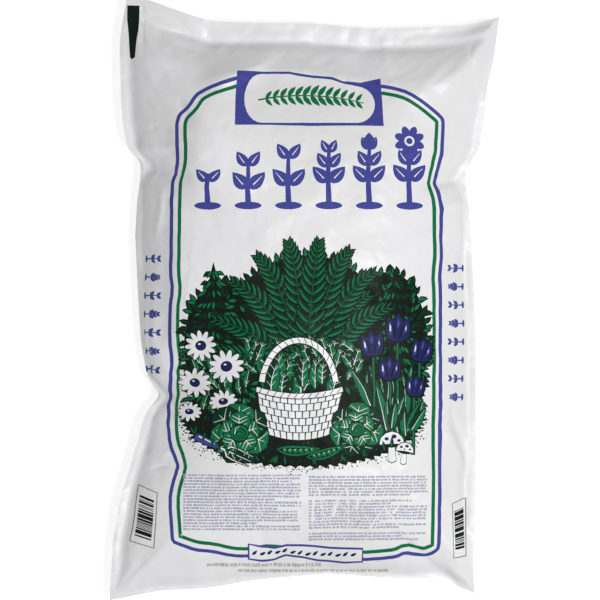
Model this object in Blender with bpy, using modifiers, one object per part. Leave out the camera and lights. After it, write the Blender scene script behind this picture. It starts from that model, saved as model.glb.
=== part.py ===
"""Filled pillow bag of topsoil, lying on its back.

A lay-flat tube of white film, heat-sealed straight across at both ends and packed
with soil, so it is one closed solid. Metres, +Z up, printed face up, +Y towards the
top seal. The origin is on the ground, in the middle of the bag's outline.
"""

import bisect
import math

import bmesh
import bpy

# The empty bag, as it leaves the roll
FLAT_WIDTH = 0.406           # side crease to side crease, 16 in
BAG_LENGTH = 0.660           # longest corner to longest corner, 26 in
FIN_THICKNESS = 0.0016       # the sealed film, with the crumple that it holds
LIP_THICKNESS = 0.0040       # the side crease where it meets the fill

# The filled bag
FILL_THICKNESS = 0.104       # floor to crown
SEAM_HEIGHT = 0.044          # the side creases above the floor
SEAL_HEIGHT = 0.036          # the end seals above the floor
CORNER_DROOP = 0.008         # how far the loose corners hang below their seal
DROOP_POWER = 6              # the more, the closer to the corners the droop stays
SEAL_SHIFT = 0.0097          # the seals are out of line: the top one lies this far right
FOOT_NARROWER = 0.004        # each half of the foot seal is gathered by this much
TOP_FIN = 0.021              # loose film above the fill
FOOT_FIN = 0.016             # loose film below the fill
LIP = 0.011                  # the flattened crease outside the fill, each side
FIN_WAVE = 0.003             # how far the loose fins wave up and down
FIN_WAVE_LENGTH = 0.120      # crest to crest, along a seal

# How the fill rounds off, measured inwards from the fins and the lips
TOP_SHOULDER = 0.135         # the fill has slumped away from the top, so it slopes longest there
FOOT_SHOULDER = 0.095        # it is packed against the foot
SIDE_SHOULDER = 0.105        # and rounds over to each side
SHOULDER_POWER = 2.3         # 2 is a quarter circle, more is boxier
CROWN = 0.10                 # share of the height that the crown loses at its sides
REST_SHARE = 1.16            # over 1, so that the underside is flat where it bears
REST_CLEARANCE = 0.0015      # film that would clear the ground by less lies on it

# The outline, as how far the film has drawn in from the straight line between two
# corners: (share of the way, draw in metres). Sides run from the top down, ends from
# the left to the right.
TOP_DRAW = ((0.0, 0.0), (0.06, 0.0065), (0.14, 0.0185), (0.22, 0.0294), (0.49, 0.0316),
            (0.65, 0.0375), (0.81, 0.0359), (0.91, 0.0337), (1.0, 0.0239))
FOOT_DRAW = ((0.0, 0.0), (0.14, 0.0109), (0.26, 0.0131), (0.41, 0.0228), (0.60, 0.0294),
             (0.82, 0.0234), (0.915, 0.0261), (0.96, 0.0141), (1.0, 0.0076))
LEFT_DRAW = ((0.0, 0.0), (0.11, -0.0055), (0.224, 0.0011), (0.282, 0.0186), (0.405, 0.0166),
             (0.504, 0.0218), (0.62, 0.0318), (0.662, 0.0434), (0.69, 0.0342),
             (0.784, 0.0164), (0.883, 0.0042), (1.0, 0.0))
RIGHT_DRAW = ((0.0, 0.0), (0.085, 0.0052), (0.137, 0.0125), (0.197, 0.0109), (0.277, 0.0293),
              (0.39, 0.0186), (0.49, 0.0136), (0.66, 0.0077), (0.84, 0.0029), (1.0, 0.0))

# Folds that run in from the pinches in the side creases, and puckers that run in from
# the seals: (edge, share of the way along it, depth, length inwards, half width)
FOLDS = (("left", 0.282, 0.010, 0.085, 0.020),
         ("left", 0.662, 0.012, 0.095, 0.020),
         ("right", 0.277, 0.011, 0.090, 0.022),
         ("top", 0.23, 0.008, 0.080, 0.015),
         ("top", 0.51, 0.007, 0.070, 0.017),
         ("top", 0.78, 0.008, 0.085, 0.015),
         ("foot", 0.20, 0.006, 0.060, 0.015),
         ("foot", 0.46, 0.007, 0.065, 0.016),
         ("foot", 0.80, 0.006, 0.060, 0.015))
FOLD_POWER = 4               # 2 is a round valley, more is a flatter one with steeper sides
FOLD_LIMIT = 0.6             # a fold takes away at most this share of the fill's rise

FILM_WHITE = (0.83, 0.83, 0.84, 1.0)
FILM_ROUGHNESS = 0.36

CAGE_ACROSS = 20             # cage faces over the width
CAGE_ALONG = 30              # cage faces over the length
EDGE_PACKING = 0.8           # 0 spaces the cage evenly, 1 packs it closest towards the edges
SMOOTHING = 1                # subdivision levels


def clear_scene():
    for obj in list(bpy.data.objects):
        bpy.data.objects.remove(obj, do_unlink=True)


def read_curve(points, share):
    """Reads a smooth (Catmull-Rom) curve through (share, value) points."""
    shares = [point[0] for point in points]
    last = len(points) - 2
    i = min(max(bisect.bisect_right(shares, share) - 1, 0), last)
    (s0, v0), (s1, v1) = points[i], points[i + 1]
    before = points[i - 1] if i > 0 else (2 * s0 - s1, 2 * v0 - v1)
    after = points[i + 2] if i < last else (2 * s1 - s0, 2 * v1 - v0)
    slope_in = (v1 - before[1]) / (s1 - before[0])
    slope_out = (after[1] - v0) / (after[0] - s0)
    step = s1 - s0
    t = (share - s0) / step
    return ((2 * t**3 - 3 * t**2 + 1) * v0 + (t**3 - 2 * t**2 + t) * step * slope_in
            + (3 * t**2 - 2 * t**3) * v1 + (t**3 - t**2) * step * slope_out)


def mix(first, second, share):
    return first + (second - first) * share


def quarter_round(distance, length):
    """0 at the edge of the fill, rising steeply to 1 a shoulder's length inside it."""
    share = min(max(distance / length, 0.0), 1.0)
    return (1 - (1 - share) ** SHOULDER_POWER) ** (1 / SHOULDER_POWER)


def corner_points():
    half = FLAT_WIDTH / 2
    foot_half = half - FOOT_NARROWER
    foot_middle = -SEAL_SHIFT - FOOT_NARROWER
    end = BAG_LENGTH / 2
    return {"top_left": (SEAL_SHIFT - half, end), "top_right": (SEAL_SHIFT + half, end),
            "foot_left": (foot_middle - foot_half, -end),
            "foot_right": (foot_middle + foot_half, -end)}


def outline_point(across, down):
    """The film's place in plan: across runs left to right, down from the top seal."""
    corners = corner_points()
    left = mix(corners["top_left"][0], corners["foot_left"][0], down)
    right = mix(corners["top_right"][0], corners["foot_right"][0], down)
    left += read_curve(LEFT_DRAW, down)
    right -= read_curve(RIGHT_DRAW, down)
    top = corners["top_left"][1] - read_curve(TOP_DRAW, across)
    foot = corners["foot_left"][1] + read_curve(FOOT_DRAW, across)
    return mix(left, right, across), mix(top, foot, down)


def edge_point(edge, share):
    if edge in ("left", "right"):
        return outline_point(0.0 if edge == "left" else 1.0, share)
    return outline_point(share, 0.0 if edge == "top" else 1.0)


def fold_depth(x, y):
    """How far the folds and puckers sink the printed face at this place."""
    depth = 0.0
    for edge, share, deepest, length, half_width in FOLDS:
        edge_x, edge_y = edge_point(edge, share)
        inward, along = abs(x - edge_x), abs(y - edge_y)
        if edge in ("top", "foot"):
            inward, along = along, inward
        if inward < length:
            valley = 1 / (1 + (along / half_width) ** FOLD_POWER)
            depth += deepest * valley * (1 - inward / length)
    return depth


def film_point(across, down, printed_side):
    x, y = outline_point(across, down)
    left, _ = outline_point(0.0, down)
    right, _ = outline_point(1.0, down)
    _, top = outline_point(across, 0.0)
    _, foot = outline_point(across, 1.0)
    from_side = min(x - left, right - x)
    to_top = top - y
    to_foot = y - foot

    # The seam runs level along the sides, and lower into the end seals and corners.
    near_end = 1 - min(quarter_round(to_top, TOP_SHOULDER), quarter_round(to_foot, FOOT_SHOULDER))
    seam = mix(SEAM_HEIGHT, SEAL_HEIGHT, near_end)
    towards_corner = abs(2 * across - 1) ** DROOP_POWER
    seam -= CORNER_DROOP * near_end * towards_corner

    # The fins wave, and the wave dies out in the fill, a fin's depth below its edge.
    on_fin = max(1 - to_top / (2 * TOP_FIN), 1 - to_foot / (2 * FOOT_FIN), 0.0)
    seam += FIN_WAVE * math.sin(math.tau * x / FIN_WAVE_LENGTH) * on_fin

    fullness = (quarter_round(from_side - LIP, SIDE_SHOULDER)
                * min(quarter_round(to_top - TOP_FIN, TOP_SHOULDER),
                      quarter_round(to_foot - FOOT_FIN, FOOT_SHOULDER)))
    lip_share = min(from_side / LIP, to_top / TOP_FIN, to_foot / FOOT_FIN, 1.0)
    half_film = mix(FIN_THICKNESS, LIP_THICKNESS, max(lip_share, 0.0)) / 2

    if printed_side:
        crown = 1 - CROWN * (2 * across - 1) ** 2
        rise = (FILL_THICKNESS - SEAM_HEIGHT - half_film) * crown * fullness
        sink = min(fold_depth(x, y), rise * FOLD_LIMIT)
        return x, y, seam + half_film + rise - sink
    height = mix(seam - half_film, 0.0, min(fullness * REST_SHARE, 1.0))
    return x, y, height if height > REST_CLEARANCE else 0.0


def packed_to_edges(share):
    """Sets the cage's rows closer together towards the edges, where the film turns."""
    return mix(share, share * share * (3 - 2 * share), EDGE_PACKING)


def keep_sharp(bm, crease, in_patch):
    """Creases the outline of a patch of faces, so that the patch keeps its own plane."""
    for edge in bm.edges:
        inside = [in_patch(face) for face in edge.link_faces]
        if any(inside) and not all(inside):
            edge[crease] = 1.0


def soil_bag_cage():
    """Two layers of film over one grid, joined by the thin wall at their rim."""
    bm = bmesh.new()
    bmesh.ops.create_grid(bm, x_segments=CAGE_ACROSS, y_segments=CAGE_ALONG, size=0.5)
    back_film = set(bm.verts)
    bmesh.ops.extrude_face_region(bm, geom=list(bm.faces))
    crease = bm.edges.layers.float.new("crease_edge")
    for vert in bm.verts:
        vert.tag = vert in back_film
    for vert in bm.verts:
        across = packed_to_edges(vert.co.x + 0.5)
        down = packed_to_edges(0.5 - vert.co.y)
        vert.co = film_point(across, down, not vert.tag)
    keep_sharp(bm, crease, lambda rim_wall: len({v.tag for v in rim_wall.verts}) == 2)
    keep_sharp(bm, crease, lambda underside: all(v.co.z == 0 for v in underside.verts))
    bmesh.ops.recalc_face_normals(bm, faces=list(bm.faces))
    return bm


def film_material():
    film = bpy.data.materials.new("white_film")
    film.use_nodes = True
    shader = film.node_tree.nodes["Principled BSDF"]
    shader.inputs["Base Color"].default_value = FILM_WHITE
    shader.inputs["Roughness"].default_value = FILM_ROUGHNESS
    shader.inputs["Metallic"].default_value = 0.0
    return film


def soil_bag(collection):
    cage = soil_bag_cage()
    mesh = bpy.data.meshes.new("soil_bag")
    cage.to_mesh(mesh)
    cage.free()
    mesh.shade_smooth()
    mesh.materials.append(film_material())
    bag = bpy.data.objects.new("soil_bag", mesh)
    collection.objects.link(bag)
    smooth = bag.modifiers.new("Soft film", "SUBSURF")
    smooth.levels = SMOOTHING
    smooth.render_levels = SMOOTHING
    return bag


def main():
    clear_scene()
    collection = bpy.data.collections.new("topsoil_bag")
    bpy.context.scene.collection.children.link(collection)
    soil_bag(collection)


main()
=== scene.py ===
import math
import random

import bpy
import numpy as np
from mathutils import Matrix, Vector
from mathutils.geometry import delaunay_2d_cdt


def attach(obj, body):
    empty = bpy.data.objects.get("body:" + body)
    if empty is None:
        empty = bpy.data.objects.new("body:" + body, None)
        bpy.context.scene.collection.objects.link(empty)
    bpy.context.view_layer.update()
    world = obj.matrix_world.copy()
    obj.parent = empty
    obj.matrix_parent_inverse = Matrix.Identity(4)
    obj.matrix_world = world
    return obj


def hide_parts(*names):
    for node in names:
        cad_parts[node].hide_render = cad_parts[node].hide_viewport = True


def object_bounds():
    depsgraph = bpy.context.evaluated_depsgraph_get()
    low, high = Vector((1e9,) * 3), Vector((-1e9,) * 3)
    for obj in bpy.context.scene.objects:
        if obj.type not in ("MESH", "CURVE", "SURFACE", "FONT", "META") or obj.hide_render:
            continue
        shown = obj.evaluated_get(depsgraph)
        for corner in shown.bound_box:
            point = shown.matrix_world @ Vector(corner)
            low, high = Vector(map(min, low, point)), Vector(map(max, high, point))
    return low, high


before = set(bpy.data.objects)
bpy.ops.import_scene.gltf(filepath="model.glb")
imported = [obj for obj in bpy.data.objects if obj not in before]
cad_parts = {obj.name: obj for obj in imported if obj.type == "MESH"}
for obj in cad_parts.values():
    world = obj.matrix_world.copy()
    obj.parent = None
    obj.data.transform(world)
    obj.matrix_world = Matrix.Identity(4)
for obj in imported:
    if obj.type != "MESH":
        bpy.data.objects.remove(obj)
cadLow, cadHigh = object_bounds()
print("frame loaded, box", [round(side, 4) for side in cadHigh - cadLow])

# the photograph looks straight down on the printed face
photo = {
    "metresPerPixel": 1.088e-3,
    "middle": (304.5, 297.5),  # the pixel over the origin
    "size": 600,
}


def fromPhoto(pixels):
    places = (np.asarray(pixels, float) - photo["middle"]) * photo["metresPerPixel"]
    return places * (1, -1)


# the empty tube of film, laid flat, and how it is filled
film = {
    "width": 0.420,
    "length": 0.696,
    "cell": 0.006,  # the mesh that is simulated
    "sideLip": 0.012,  # the flattened crease, each side
    "lipRise": -0.0015,  # how far the lips stand up, except where one is turned under
    "topFin": 0.021,  # loose film above the fill
    "footFin": 0.006,
    "layer": 0.0014,  # both layers of a fin, with the air between them
    "seamHeight": 0.044,
    "sealHeight": 0.036,
    "cornerDroop": 0.008,
    "startRise": 0.046,  # the dome that the fill starts from, above the seam
    "startSink": 0.034,  # and below it
    "domePower": 0.45,
    "endPower": 0.3,
    "droopPower": 6,
    "crinkle": 0.0004,
    "fineGrid": 0.0034,  # mesh of the finished face
    "backGrid": 0.0060,
}
halfFilm = np.array([film["width"], film["length"]]) / 2

# the outline, in the photograph's pixels, clockwise from the top left corner
outline = {
    "top": [(127, -6), (150, 0), (180, 11), (210, 21), (250, 22.5), (310, 23), (370, 28.5),
            (430, 27), (465, 25), (480, 21), (500, 16)],
    "foot": [(109, 601), (160, 591), (205, 589), (260, 580), (327, 574), (410, 579.5),
             (444, 577), (460, 588), (474.5, 594)],
    "left": [(127, -6), (121, 30), (119.5, 45), (120.5, 80), (121, 100), (123, 125), (127, 147),
             (141, 163), (140, 180), (137, 200), (135, 235), (138, 300), (141, 345),
             (147, 376), (160, 396), (149, 408), (143, 420), (132, 460), (120, 500),
             (113, 540), (109, 601)],
    "right": [(500, 16), (494, 60), (488, 85), (484, 120), (480, 148), (466, 170), (465.5, 182),
              (469, 205), (472, 250), (474, 290), (476, 340), (476, 420), (476, 480),
              (474, 560), (474.5, 594)],
}
tuckedLip = {"from": 162, "to": 398, "blend": 18}  # pixel rows where the left lip is turned under


def alongEdge(edge, shares):
    points = fromPhoto(outline[edge])
    travelled = np.r_[0, np.cumsum(np.hypot(*np.diff(points, axis=0).T))]
    return np.stack([np.interp(shares * travelled[-1], travelled, axis) for axis in points.T], -1)


def planOf(across, down):  # a sheet stretched over the outline, across and down from 0 to 1
    a, d = across[..., None], down[..., None]
    topLeft, footLeft, topRight, footRight = (alongEdge(side, end) for side in ("left", "right")
                                              for end in (0, 1))
    ends = (1 - d) * alongEdge("top", across) + d * alongEdge("foot", across)
    sides = (1 - a) * alongEdge("left", down) + a * alongEdge("right", down)
    twice = (1 - a) * (1 - d) * topLeft + a * (1 - d) * topRight
    return ends + sides - twice - (1 - a) * d * footLeft - a * d * footRight


def softNoise(spots, wavelength, rng):  # smooth bumps of about that wavelength, spots in metres
    reach = 0.5  # metres, past the film's own edges
    total = 0
    for turn in (0.4, 1.3):  # two layers, turned, so that no grid shows
        values = rng.normal(0, 1, (int(2 * reach / wavelength) + 3,) * 2)
        c, s = math.cos(turn), math.sin(turn)
        x = (spots[..., 0] * c - spots[..., 1] * s + reach) / wavelength
        y = (spots[..., 0] * s + spots[..., 1] * c + reach) / wavelength
        row, column = np.floor(y).astype(int), np.floor(x).astype(int)
        fy, fx = y - row, x - column
        fy, fx = fy * fy * (3 - 2 * fy), fx * fx * (3 - 2 * fx)
        near = values[row, column] * (1 - fx) + values[row, column + 1] * fx
        far = values[row + 1, column] * (1 - fx) + values[row + 1, column + 1] * fx
        total = total + near * (1 - fy) + far * fy
    return total / 1.4  # about as high as one layer


def easeIn(value, start, end):  # 0 before start, 1 after end, smooth between
    share = np.clip((value - start) / (end - start), 0, 1)
    return share * share * (3 - 2 * share)


# the bag before it is filled: one sheet on the fins and lips, two over the fill
columns = round(film["width"] / film["cell"])
rows = round(film["length"] / film["cell"])
lipCells = round(film["sideLip"] / film["cell"])
topCells = round(film["topFin"] / film["cell"])
footCells = round(film["footFin"] / film["cell"])
pressing = {  # how hard the fill presses on the film, 1 at the most
    "back": 0.9,
    "front": 0.85,
    "lumps": ((0.060, 0.10), (0.025, 0.06)),  # wavelength in metres, and how much harder or softer
    "least": 0.3,
}


def layOut():
    rng = np.random.default_rng(4)
    across, down = np.meshgrid(np.linspace(0, 1, columns + 1), np.linspace(0, 1, rows + 1))
    photoRow = photo["middle"][1] - alongEdge("left", down)[..., 1] / photo["metresPerPixel"]
    first, last, blend = tuckedLip.values()
    tuck = easeIn(photoRow, first - blend, first + blend) * (1 - easeIn(photoRow, last - blend, last + blend))
    lipShare = lipCells / columns
    plan = planOf(np.clip((across - tuck * lipShare) / (1 - tuck * lipShare), 0, 1), down)
    alongFill = np.clip((np.arange(rows + 1) - topCells) / (rows - topCells - footCells), 0, 1)
    acrossFill = np.clip((np.arange(columns + 1) - lipCells) / (columns - 2 * lipCells), 0, 1)
    ends = np.sin(np.pi * alongFill)[:, None]
    dome = (ends * np.sin(np.pi * acrossFill)) ** film["domePower"]
    nearEnd = 1 - ends ** film["endPower"]
    seam = (film["sealHeight"] + (film["seamHeight"] - film["sealHeight"]) * (1 - nearEnd)
            - film["cornerDroop"] * np.abs(2 * across - 1) ** film["droopPower"] * nearEnd)
    onLeftLip, onRightLip = np.clip(1 - across / lipShare, 0, 1), np.clip(1 - (1 - across) / lipShare, 0, 1)
    seam = seam + film["lipRise"] * (onRightLip + onLeftLip * (1 - tuck)) * (1 - nearEnd)
    seam = seam - tuck * film["sideLip"] * onLeftLip
    inside = np.zeros(across.shape, bool)
    inside[topCells + 1:rows - footCells, lipCells + 1:columns - lipCells] = True
    front = np.arange(across.size).reshape(across.shape)
    back = front.copy()
    back[inside] = across.size + np.arange(inside.sum())
    crinkle = rng.normal(0, film["crinkle"], across.shape)
    start = np.zeros((across.size + inside.sum(), 3))
    flat = np.zeros_like(start)
    start[back] = np.dstack([plan, seam - dome * film["startSink"]])
    start[front] = np.dstack([plan, seam + dome * film["startRise"] + crinkle])
    pattern = np.dstack([(across - 0.5) * film["width"], (0.5 - down) * film["length"], across * 0])
    flat[back] = flat[front] = pattern
    lumps = pressing["front"]
    for wavelength, strength in pressing["lumps"]:
        lumps = lumps + strength * softNoise(pattern[..., :2], wavelength, rng)
    press = np.zeros(len(start))
    filled = (slice(topCells, rows - footCells + 1), slice(lipCells, columns - lipCells + 1))
    press[back[filled]] = pressing["back"]
    press[front[filled]] = np.clip(lumps, pressing["least"], 1)[filled]
    return {"plan": planOf(across, down), "front": front, "back": back, "start": start, "flat": flat,
            "press": press}


# what the filling is simulated with, at ten times the size, where the cloth solver is steady
filling = {
    "scale": 10.0,
    "frames": 30,
    "targetVolume": 0.026,  # cubic metres, more than the film can hold
    "pressureFactor": 4.0,
    "soilWeight": 0.02,  # the fill presses harder the deeper it lies
    "pointMass": 0.07,
    "stretch": 150.0,
    "shear": 100.0,
    "bend": 0.3,
    "damping": 5.0,
    "bendDamping": 0.5,
    "airDamping": 1.0,
    "rimHold": 0.7,  # how firmly the rim keeps to the outline
    "rimFade": 12,  # cells over which the rim's correction fades
    "gap": 0.01,  # between the film and the plates
    "plateReach": 8.0,
}


def setAll(target, **given):
    for name, value in given.items():
        setattr(target, name, value)


def addObject(name, data):
    made = bpy.data.objects.new(name, data)
    bpy.context.scene.collection.objects.link(made)
    return made


def addSquare(name, reach, level, facesUp=True):
    mesh = bpy.data.meshes.new(name)
    mesh.from_pydata([(-reach, -reach, level), (reach, -reach, level), (reach, reach, level),
                      (-reach, reach, level)], [], [(0, 1, 2, 3) if facesUp else (3, 2, 1, 0)])
    return addObject(name, mesh)


def addPlate(name, height, facesUp, friction):  # the floor, or what presses the bag flat
    plate = addSquare(name, filling["plateReach"], height, facesUp)
    plate.modifiers.new("Collision", "COLLISION")
    setAll(plate.collision, thickness_outer=filling["gap"], cloth_friction=friction)
    return plate


def sheetFaces(grid, rowSpan=slice(None), columnSpan=slice(None)):
    corners = np.stack([grid[:-1, :-1], grid[1:, :-1], grid[1:, 1:], grid[:-1, 1:]], -1)
    return corners[rowSpan, columnSpan].reshape(-1, 4)


def fillBag(bag):
    scale, frames, scene = filling["scale"], filling["frames"], bpy.context.scene
    fillRows, fillColumns = slice(topCells, rows - footCells), slice(lipCells, columns - lipCells)
    faces = np.r_[sheetFaces(bag["front"]), sheetFaces(bag["back"], fillRows, fillColumns)[:, ::-1]]
    mesh = bpy.data.meshes.new("fillingMesh")
    mesh.from_pydata((bag["start"] * scale).tolist(), [], faces.tolist())
    skin = addObject("fillingMesh", mesh)
    skin.shape_key_add(name="start")
    cut = skin.shape_key_add(name="cut")
    cut.data.foreach_set("co", (bag["flat"] * scale).ravel())
    cut.value = 0
    press = skin.vertex_groups.new(name="press")
    for point in np.flatnonzero(bag["press"]).tolist():
        press.add([point], float(bag["press"][point]), "REPLACE")
    hold = skin.vertex_groups.new(name="hold")
    front = bag["front"]
    rim = np.r_[front[0], front[-1], front[1:-1, 0], front[1:-1, -1]]
    hold.add(rim.tolist(), filling["rimHold"], "REPLACE")
    hold.add([int(front[row, column]) for row in (0, -1) for column in (0, -1)], 1.0, "REPLACE")
    cloth = skin.modifiers.new("Cloth", "CLOTH")
    setAll(cloth.settings, vertex_group_mass="hold", pin_stiffness=1.0, quality=5, mass=filling["pointMass"],
           tension_stiffness=filling["stretch"], compression_stiffness=filling["stretch"],
           shear_stiffness=filling["shear"], bending_stiffness=filling["bend"],
           tension_damping=filling["damping"], compression_damping=filling["damping"],
           shear_damping=filling["damping"], bending_damping=filling["bendDamping"],
           air_damping=filling["airDamping"], use_pressure=True, uniform_pressure_force=0.0,
           use_pressure_volume=True, pressure_factor=filling["pressureFactor"],
           target_volume=filling["targetVolume"] * scale ** 3, fluid_density=filling["soilWeight"],
           vertex_group_pressure="press", rest_shape_key=cut)
    setAll(cloth.collision_settings, distance_min=filling["gap"], use_collision=True,
           use_self_collision=False)
    setAll(cloth.point_cache, frame_start=1, frame_end=frames)
    plates = [addPlate("ground", 0.0, True, 20.0), addPlate("stackAbove", cadHigh.z * scale, False, 5.0)]
    setAll(scene, frame_start=1, frame_end=frames, gravity=(0, 0, -9.81))
    for step in range(1, frames + 1):
        scene.frame_set(step)
    settled = skin.evaluated_get(bpy.context.evaluated_depsgraph_get()).data
    places = np.empty(len(settled.vertices) * 3)
    settled.vertices.foreach_get("co", places)
    for helper in (skin, *plates):
        bpy.data.objects.remove(helper)
    scene.frame_set(1)
    return places.reshape(-1, 3) / scale


def settle(bag, places):  # brings the rim back to the outline, and the bag down onto the floor
    gap = bag["plan"] - places[bag["front"]][..., :2]
    fadeRow, fadeColumn = (np.clip(1 - np.arange(count + 1) / filling["rimFade"], 0, 1) ** 2
                           for count in (rows, columns))
    left, top = fadeColumn[None, :, None], fadeRow[:, None, None]
    right, foot = left[:, ::-1], top[::-1]
    twice = (left * top * gap[:1, :1] + right * top * gap[:1, -1:] + left * foot * gap[-1:, :1]
             + right * foot * gap[-1:, -1:])
    shift = left * gap[:, :1] + right * gap[:, -1:] + top * gap[:1] + foot * gap[-1:] - twice
    nets = {}
    low, high = places[:, 2].min(), places[:, 2].max()
    for side in ("front", "back"):
        net = places[bag[side]].copy()
        net[..., :2] += shift
        net[..., 2] = (net[..., 2] - low) * (cadHigh.z / (high - low))
        nets[side] = net
    return nets


def padNet(net):  # one more row all round, so that the surface ends on the net's own edge
    net = np.concatenate([2 * net[:1] - net[1:2], net, 2 * net[-1:] - net[-2:-1]])
    return np.concatenate([2 * net[:, :1] - net[:, 1:2], net, 2 * net[:, -1:] - net[:, -2:-1]], 1)


def calm(net, passes):  # the same net without its wrinkles
    net = net.copy()
    for step in range(passes):
        nearby = (net[:-2, 1:-1] + net[2:, 1:-1] + net[1:-1, :-2] + net[1:-1, 2:]) / 4
        net[1:-1, 1:-1] = (net[1:-1, 1:-1] + nearby) / 2
    return net


def blendWeights(share):  # cubic B-spline
    return ((1 - share) ** 3 / 6, (3 * share ** 3 - 6 * share ** 2 + 4) / 6,
            (-3 * share ** 3 + 3 * share ** 2 + 3 * share + 1) / 6, share ** 3 / 6)


def readNet(net, spots):  # the smooth surface over the net, at places on the flat film in metres
    column = np.clip((spots[:, 0] / film["width"] + 0.5) * columns, 0, columns)
    row = np.clip((0.5 - spots[:, 1] / film["length"]) * rows, 0, rows)
    c, r = np.minimum(column.astype(int), columns - 1), np.minimum(row.astype(int), rows - 1)
    acrossWeights, downWeights = blendWeights(column - c), blendWeights(row - r)
    return sum((acrossWeights[i] * downWeights[j])[:, None] * net[r + j, c + i]
               for i in range(4) for j in range(4))


bag = layOut()
simulated = fillBag(bag)
nets = settle(bag, simulated)
frontNet, backNet = padNet(nets["front"]), padNet(nets["back"])
calmNet = padNet(calm(nets["front"], 6))  # the print is laid out on it
print("bag filled", f"in {filling['frames']} frames")


# creases on the printed side: lift in millimetres, positive on a ridge, half width in millimetres, or
# one to the left and one to the right of the way the line runs, and the line that each follows in the
# photograph's pixels; one that starts at the rim starts outside, and a broad one lifts straight up
folds = [
    # the puckers under the top seal
    (3.5, 13, ((170, 92), (220, 80), (262, 73), (310, 76), (350, 81), (400, 85), (440, 72))),
    (2.0, (26, 12), ((126, 60), (180, 63), (205, 74), (240, 90))),
    (-6.0, (24, 14), ((128, 22), (176, 42), (200, 52), (218, 52), (240, 45), (270, 36))),
    (7.0, (28, 12), ((206, 92), (250, 70), (272, 58), (304, 36))),
    (1.6, 7, ((292, 24), (298, 40), (310, 56))),
    (-1.6, 8, ((310, 40), (326, 60), (322, 80))),
    (2.0, 6, ((382, 30), (385, 52), (390, 84))),
    (10.0, (26, 40), ((502, -4), (488, 28), (478, 48), (465, 66), (448, 78), (424, 87), (394, 97),
                      (360, 104))),
    (-1.6, 6, ((205, 14), (209, 36), (218, 56))),
    # inside the lips
    (-2.0, 3, ((141, -12), (144, 66))),
    (-1.5, 3, ((470, 40), (472, 104))),
    # the shaded flank, top left
    (14.0, (44, 120), ((190, 195), (200, 165), (203, 135), (208, 108), (222, 88), (250, 74), (300, 60))),
    (6.0, (44, 12), ((172, 150), (176, 215), (177, 260), (176, 320), (178, 420))),
    # from the pinches
    (-5.0, 8, ((128, 160), (150, 168), (196, 182))),
    (2.2, 7, ((132, 146), (165, 150), (190, 140))),
    (2.4, 7, ((130, 182), (160, 192), (180, 208))),
    (-2.0, 7, ((146, 396), (160, 397), (182, 400))),
    (2.6, 7, ((150, 376), (176, 372), (200, 362))),
    (2.2, 6, ((150, 414), (170, 424), (186, 440))),
    (-5.0, 8, ((478, 176), (455, 180), (410, 188))),
    (2.2, 7, ((476, 160), (452, 160), (426, 150))),
    (2.4, 6, ((470, 194), (450, 204), (430, 218))),
    # down the left side
    (2.5, 5, ((166, 184), (162, 214), (153, 248))),
    (-1.6, 4, ((148, 127), (160, 128), (174, 134))),
    (-1.8, 6, ((178, 96), (188, 118), (186, 136))),
    (-2.6, 4, ((146, 470), (168, 464), (206, 468))),
    (1.6, 5, ((148, 452), (166, 454), (176, 446))),
    # down the right side
    (-3.0, (4, 8), ((447, 398), (462, 440), (466, 470))),
    (4.0, (6, 10), ((440, 424), (456, 452), (468, 480))),
    (-2.5, (4, 7), ((465, 440), (465, 500), (466, 560), (472, 620))),
    (3.5, (5, 16), ((470, 164), (461, 198), (458, 235), (457, 290))),
    # to the foot's corners, and above the foot seal
    (8.0, (10, 26), ((460, 516), (466, 562), (472, 600), (478, 640))),
    (2.2, 7, ((140, 556), (124, 578), (108, 606))),
    (-1.6, 5, ((262, 590), (272, 566), (286, 552))),
    (1.6, 5, ((300, 592), (300, 570), (296, 552))),
    (-1.4, 5, ((402, 592), (406, 568), (404, 548))),
]
surface = {
    "clods": ((0.034, 0.00050), (0.019, 0.00022)),  # wavelength and height of what shows through
    "crumple": ((0.052, 0.0016), (0.026, 0.0007)),  # sharper, and stronger where the film is steep
    "crumpleOnFace": 0.12,
    "finRipple": ((0.060, 0.0010), (0.022, 0.0002)),
    "crumpleMean": 0.6,
    "steep": (0.02, 0.30),  # from nearly level to as steep as the flanks
    "fadeAtRim": 0.030,
    "broadFold": 20,  # half width in millimetres
    "foldFade": (0.002, 0.016),  # from the rim inwards
    "layerFade": 0.004,
    "rippleFade": 0.010,
    "slopeStep": 0.0012,
}


def foldLift(plan):  # how far the creases raise the film at places in plan, outwards and straight up
    lift = np.zeros((2, len(plan)))
    for height, halfWidth, line in folds:
        points = fromPhoto(line)
        steps = np.linalg.norm(np.diff(points, axis=0), axis=1)
        leftWidth, rightWidth = halfWidth if isinstance(halfWidth, tuple) else (halfWidth, halfWidth)
        distances, lifts = [], []
        for k, step in enumerate(steps):
            way = (points[k + 1] - points[k]) / step
            along = np.clip((plan - points[k]) @ way, 0, step)
            away = np.linalg.norm(plan - points[k] - along[:, None] * way, axis=1)
            onLeft = way[0] * (plan - points[k])[:, 1] > way[1] * (plan - points[k])[:, 0]
            wide = np.where(onLeft, leftWidth, rightWidth)
            share = (steps[:k].sum() + along) / steps.sum()
            run = easeIn(share, 0, 0.25) * (1 - easeIn(share, 0.5, 1))
            distances.append(away)
            lifts.append(run * np.exp(1 - np.sqrt(1 + (2000 * away / wide) ** 2)))
        nearest = np.min(distances, axis=0)
        weights = np.exp((nearest - distances) / (0.001 + 0.25 * nearest))  # soft where two stretches meet
        kind = 1 if max(leftWidth, rightWidth) > surface["broadFold"] else 0
        lift[kind] += height / 1000 * (weights * lifts).sum(0) / weights.sum(0)
    return lift


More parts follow.
